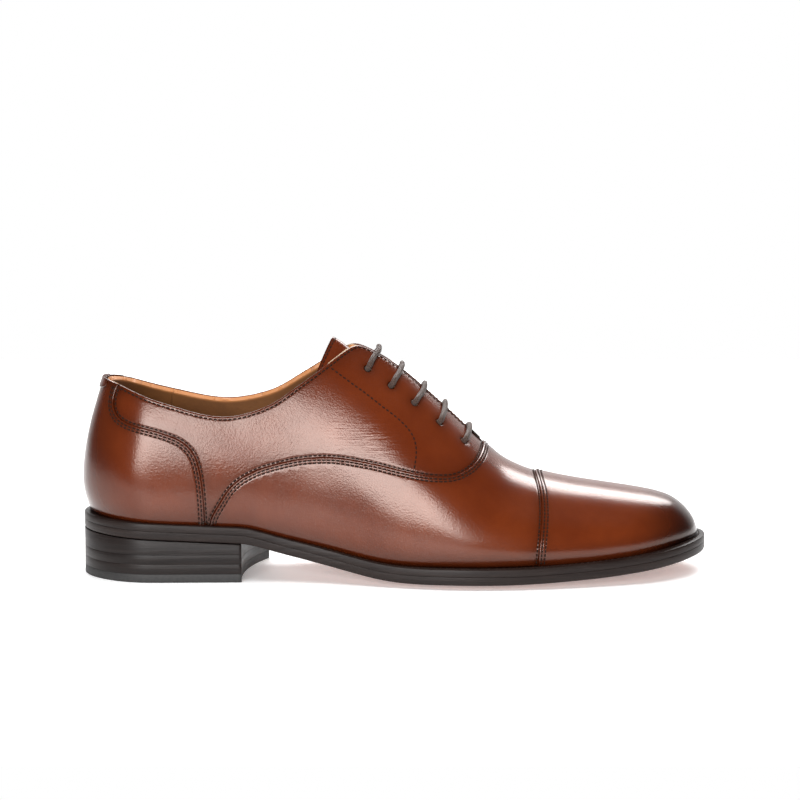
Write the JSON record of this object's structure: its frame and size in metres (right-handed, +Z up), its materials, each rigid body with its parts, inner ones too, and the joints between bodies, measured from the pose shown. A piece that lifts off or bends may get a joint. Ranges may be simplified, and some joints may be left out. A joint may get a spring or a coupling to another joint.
{
  "type": "leather oxford shoe",
  "caption": "Right cap-toe oxford dress shoe: laced leather upper with hinged tongue over a welted leather sole and stacked heel.",
  "frame": {"origin": "on the floor, under the middle of the shoe's bounding box", "axes": "+X from the heel to the toe, +Y to the inner side of the foot, +Z up"},
  "size_m": [0.3, 0.1011, 0.1121],
  "materials": {
    "upper_leather": "burnished calf, polished",
    "burnished_leather": "darker burnished calf, polished",
    "lining_leather": "smooth vegetable-tanned lining",
    "stiffener": "pressed fibre and leather board",
    "lace_cord": "round waxed cotton",
    "lace_tip": "clear-coated tip",
    "stitching": "waxed thread",
    "sole_leather": "edge-dyed and waxed",
    "insole_board": "smooth insole leather",
    "cork": "pressed cork filler",
    "shank_steel": "plain",
    "heel_leather": "stacked, dyed and waxed",
    "top_piece_rubber": "moulded",
    "nail_brass": "plain"
  },
  "bodies": {
    "shoe": {"toe_cap": "upper_leather", "vamp": "upper_leather", "quarter_lateral": "upper_leather", "quarter_medial": "upper_leather", "heel_counter_cover": "burnished_leather", "back_tab": "burnished_leather", "toe_puff": "stiffener", "heel_counter_stiffener": "stiffener", "facing_stay_lateral": "stiffener", "facing_stay_medial": "stiffener", "vamp_lining": "lining_leather", "quarter_lining_lateral": "lining_leather", "quarter_lining_medial": "lining_leather", "heel_grip_lining": "lining_leather", "throat_bartack": "stitching", "lace": "lace_cord", "lace_aglet_lateral": "lace_tip", "lace_aglet_medial": "lace_tip", "sock_liner": "lining_leather", "insole_board": "insole_board", "shank": "shank_steel", "cork_filler": "cork", "welt": "sole_leather", "heel_rand": "sole_leather", "outsole": "sole_leather", "heel_lift_1": "heel_leather", "heel_lift_2": "heel_leather", "heel_lift_3": "heel_leather", "heel_top_piece": "top_piece_rubber", "heel_nails": "nail_brass"},
    "tongue": {"tongue": "upper_leather", "tongue_lining": "lining_leather"}
  },
  "joints": [
    {"name": "tongue_fold", "type": "hinge", "parent": "shoe", "child": "tongue", "pos_m": [0.047, 0, 0.05], "axis": [0, -1, 0], "range_deg": [0, 15], "stiffness_Nm_per_rad": 0.3, "springref_deg": -5.73}
  ]
}
